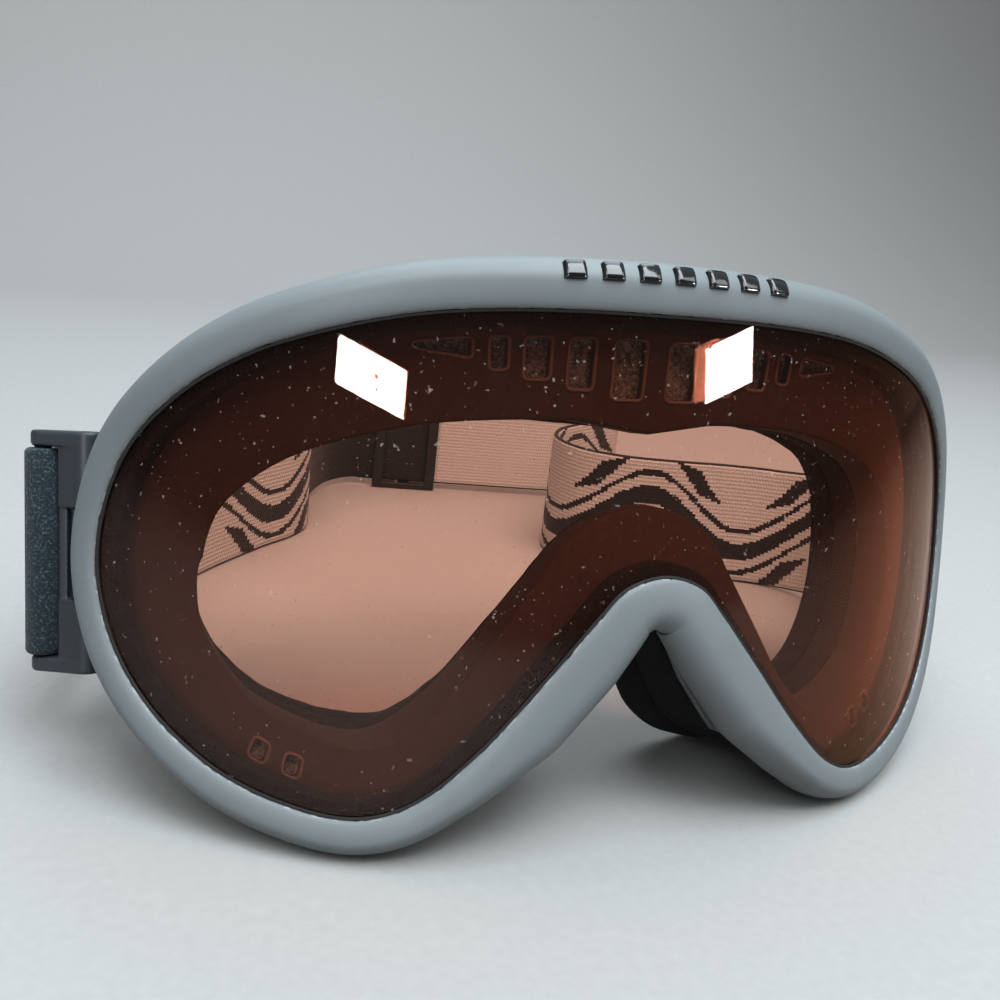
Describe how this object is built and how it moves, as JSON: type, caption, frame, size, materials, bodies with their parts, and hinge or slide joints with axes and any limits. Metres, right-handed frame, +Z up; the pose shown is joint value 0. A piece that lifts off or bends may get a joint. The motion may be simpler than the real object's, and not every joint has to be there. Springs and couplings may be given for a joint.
{
  "type": "snow goggles",
  "caption": "Snow goggles with a copper double cylinder lens, a light grey frame, hinged strap outriggers, face foam and a woven strap with a slider.",
  "frame": {"origin": "on the table plane, midway between the two outrigger hinges across the face, level with the lens's foremost point over the nose before the goggles lean back by 12 degrees", "axes": "+X from the left outrigger to the right one as the picture shows them, +Y from the lens back towards the wearer's head and the strap, +Z up off the table"},
  "size_m": [0.2064, 0.2147, 0.0962],
  "materials": {
    "frame_tpu": "satin",
    "lens_copper": "glossy",
    "lens_inner": "glossy",
    "spacer_foam": "matte",
    "gasket_black": "satin",
    "brow_gloss_black": "glossy",
    "vent_foam_grey": "matte",
    "face_foam_firm": "matte",
    "face_foam_soft": "matte",
    "fleece_black": "matte",
    "outrigger_grey": "satin",
    "pin_steel": "brushed",
    "strap_webbing": "woven",
    "loop_webbing": "woven",
    "thread_black": "matte",
    "slider_black": "satin"
  },
  "bodies": {
    "goggles": {"frame": "frame_tpu", "outer_lens": "lens_copper", "inner_lens": "lens_inner", "lens_spacer": "spacer_foam", "lens_gasket": "gasket_black", "brow_inlay": "brow_gloss_black", "top_vent_foam": "vent_foam_grey", "lower_vent_foam_left": "vent_foam_grey", "lower_vent_foam_right": "vent_foam_grey", "face_foam_firm": "face_foam_firm", "face_foam_soft": "face_foam_soft", "face_fleece": "fleece_black", "hinge_lug_left": "outrigger_grey", "hinge_lug_right": "outrigger_grey", "hinge_pin_left": "pin_steel", "hinge_pin_right": "pin_steel", "strap_run_left": "strap_webbing", "strap_back": "strap_webbing", "strap_run_right": "strap_webbing"},
    "outrigger_left": {"outrigger_left": "outrigger_grey", "strap_loop_left": "loop_webbing", "loop_stitching_left": "thread_black"},
    "outrigger_right": {"outrigger_right": "outrigger_grey", "strap_loop_right": "loop_webbing", "loop_stitching_right": "thread_black"},
    "strap_slider": {"strap_slider": "slider_black"}
  },
  "joints": [
    {"name": "outrigger_left_hinge", "type": "hinge", "parent": "goggles", "child": "outrigger_left", "pos_m": [-0.08796, 0.04499, 0.03633], "axis": [0, -0.2079, -0.9781], "range_deg": [-20, 20], "deforming": ["strap_run_left"]},
    {"name": "outrigger_right_hinge", "type": "hinge", "parent": "goggles", "child": "outrigger_right", "pos_m": [0.08796, 0.04499, 0.03633], "axis": [0, 0.2079, 0.9781], "range_deg": [-20, 20], "deforming": ["strap_run_right"]},
    {"name": "strap_slider_slide", "type": "slide", "parent": "goggles", "child": "strap_slider", "axis": [0.9781, -0.2079, 0], "range_m": [0, 0.02]}
  ]
}
